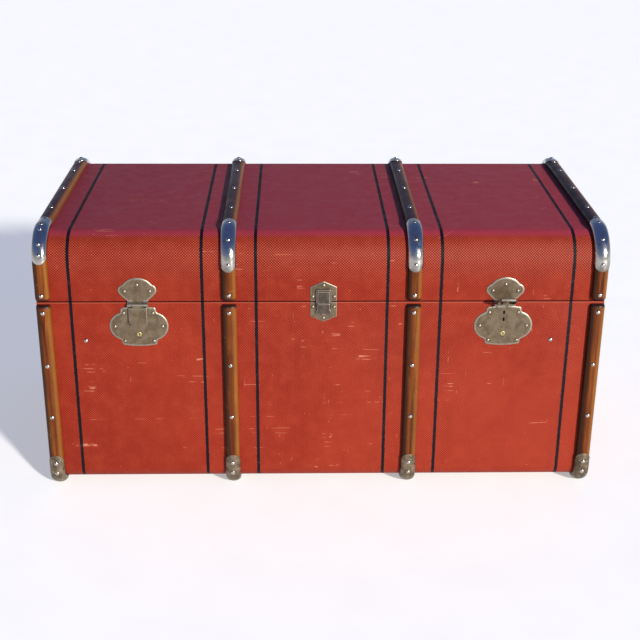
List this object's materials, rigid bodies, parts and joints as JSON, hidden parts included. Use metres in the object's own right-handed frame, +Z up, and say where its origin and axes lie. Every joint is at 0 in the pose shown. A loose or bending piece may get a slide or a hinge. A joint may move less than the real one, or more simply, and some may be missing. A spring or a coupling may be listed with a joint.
{
  "type": "steamer trunk",
  "caption": "Canvas-covered travel trunk with a hinged lid, bentwood slats, metal corner caps, hasp locks, a draw latch and end handles.",
  "frame": {"origin": "on the floor, under the middle of the trunk's length and of its whole depth, the raised hasp counted", "axes": "+X to the right along the length, +Y to the back, +Z up; the front with the locks faces -Y"},
  "size_m": [0.989, 0.5406, 0.4806],
  "materials": {
    "painted_canvas": "woven canvas over plywood, painted brick red, satin, with dark blue-black pinstripes",
    "lining_paper": "matte lining cloth",
    "varnished_wood": "varnished, satin, darkened by age",
    "polished_nickel": "polished nickel plate, lightly worn",
    "dull_nickel": "dull scuffed nickel plate",
    "aged_nickel": "nickel plate with a grey-brown patina",
    "brass": "worn brass",
    "leather": "dark brown, stitched"
  },
  "bodies": {
    "base": {"base_shell": "painted_canvas", "base_lining": "lining_paper", "base_lip": "varnished_wood", "base_slat_outer_left": "varnished_wood", "base_slat_inner_left": "varnished_wood", "base_slat_inner_right": "varnished_wood", "base_slat_outer_right": "varnished_wood", "foot_cap_front_outer_left": "dull_nickel", "foot_cap_front_inner_left": "dull_nickel", "foot_cap_front_inner_right": "dull_nickel", "foot_cap_front_outer_right": "dull_nickel", "foot_cap_rear_outer_left": "dull_nickel", "foot_cap_rear_inner_left": "dull_nickel", "foot_cap_rear_inner_right": "dull_nickel", "foot_cap_rear_outer_right": "dull_nickel", "lock_plate_left": "aged_nickel", "lock_plate_right": "aged_nickel", "lock_case_left": "aged_nickel", "lock_case_right": "aged_nickel", "hinge_leaf_base_left": "aged_nickel", "hinge_leaf_base_right": "aged_nickel", "hinge_pin_left": "aged_nickel", "hinge_pin_right": "aged_nickel", "handle_bracket_left": "aged_nickel", "handle_bracket_right": "aged_nickel", "latch_plate": "aged_nickel", "latch_pin": "aged_nickel", "tray_rest_front_left": "varnished_wood", "tray_rest_front_right": "varnished_wood", "tray_rest_rear_left": "varnished_wood", "tray_rest_rear_right": "varnished_wood"},
    "lid": {"lid_shell": "painted_canvas", "lid_lining": "lining_paper", "lid_slat_outer_left": "varnished_wood", "lid_slat_inner_left": "varnished_wood", "lid_slat_inner_right": "varnished_wood", "lid_slat_outer_right": "varnished_wood", "lid_cap_front_outer_left": "polished_nickel", "lid_cap_front_inner_left": "polished_nickel", "lid_cap_front_inner_right": "polished_nickel", "lid_cap_front_outer_right": "polished_nickel", "lid_cap_rear_outer_left": "polished_nickel", "lid_cap_rear_inner_left": "polished_nickel", "lid_cap_rear_inner_right": "polished_nickel", "lid_cap_rear_outer_right": "polished_nickel", "hasp_plate_left": "aged_nickel", "hasp_plate_right": "aged_nickel", "hinge_leaf_lid_left": "aged_nickel", "hinge_leaf_lid_right": "aged_nickel", "latch_keeper": "aged_nickel"},
    "hasp_leaf_left": {"hasp_leaf_left": "aged_nickel"},
    "handle_grip_left": {"handle_grip_left": "leather"},
    "lock_plug_left": {"lock_plug_left": "brass"},
    "lock_bolt_left": {"lock_bolt_left": "brass"},
    "hasp_leaf_right": {"hasp_leaf_right": "aged_nickel"},
    "handle_grip_right": {"handle_grip_right": "leather"},
    "lock_plug_right": {"lock_plug_right": "brass"},
    "lock_bolt_right": {"lock_bolt_right": "brass"},
    "latch_lever": {"latch_lever": "aged_nickel"},
    "latch_hook": {"latch_hook": "aged_nickel"}
  },
  "joints": [
    {"name": "lid_hinge", "type": "hinge", "parent": "base", "child": "lid", "pos_m": [0, 0.2685, 0.3543], "axis": [-1, 0, 0], "range_deg": [0, 100]},
    {"name": "hasp_left_hinge", "type": "hinge", "parent": "lid", "child": "hasp_leaf_left", "pos_m": [-0.3088, -0.2365, 0.3503], "axis": [-1, 0, 0], "range_deg": [0, 165]},
    {"name": "hasp_right_hinge", "type": "hinge", "parent": "lid", "child": "hasp_leaf_right", "pos_m": [0.3088, -0.2365, 0.3503], "axis": [-1, 0, 0], "range_deg": [-123, 42]},
    {"name": "latch_lever_hinge", "type": "hinge", "parent": "base", "child": "latch_lever", "pos_m": [0.003, -0.2353, 0.3517], "axis": [-1, 0, 0], "range_deg": [0, 110]},
    {"name": "latch_hook_hinge", "type": "hinge", "parent": "latch_lever", "child": "latch_hook", "pos_m": [0.003, -0.2353, 0.3447], "axis": [1, 0, 0], "range_deg": [0, 110]},
    {"name": "lock_plug_left_turn", "type": "hinge", "parent": "base", "child": "lock_plug_left", "pos_m": [-0.3088, -0.2317, 0.2957], "axis": [0, 1, 0], "range_deg": [0, 90]},
    {"name": "lock_bolt_left_slide", "type": "slide", "parent": "base", "child": "lock_bolt_left", "axis": [1, 0, 0], "range_m": [0, 0.005]},
    {"name": "handle_left_swing", "type": "hinge", "parent": "base", "child": "handle_grip_left", "pos_m": [-0.4875, 0.0143, 0.262], "axis": [0, 1, 0], "range_deg": [0, 90]},
    {"name": "lock_plug_right_turn", "type": "hinge", "parent": "base", "child": "lock_plug_right", "pos_m": [0.3088, -0.2317, 0.2957], "axis": [0, 1, 0], "range_deg": [0, 90]},
    {"name": "lock_bolt_right_slide", "type": "slide", "parent": "base", "child": "lock_bolt_right", "axis": [1, 0, 0], "range_m": [0, 0.005]},
    {"name": "handle_right_swing", "type": "hinge", "parent": "base", "child": "handle_grip_right", "pos_m": [0.4875, 0.0143, 0.262], "axis": [0, -1, 0], "range_deg": [0, 90]}
  ],
  "couplings": [
    {"joint": "latch_hook_hinge", "follows": "latch_lever_hinge", "ratio": 1},
    {"joint": "lock_plug_left_turn", "follows": "lock_bolt_left_slide", "rad_per_m": 314.15},
    {"joint": "lock_plug_right_turn", "follows": "lock_bolt_right_slide", "rad_per_m": 314.15}
  ]
}
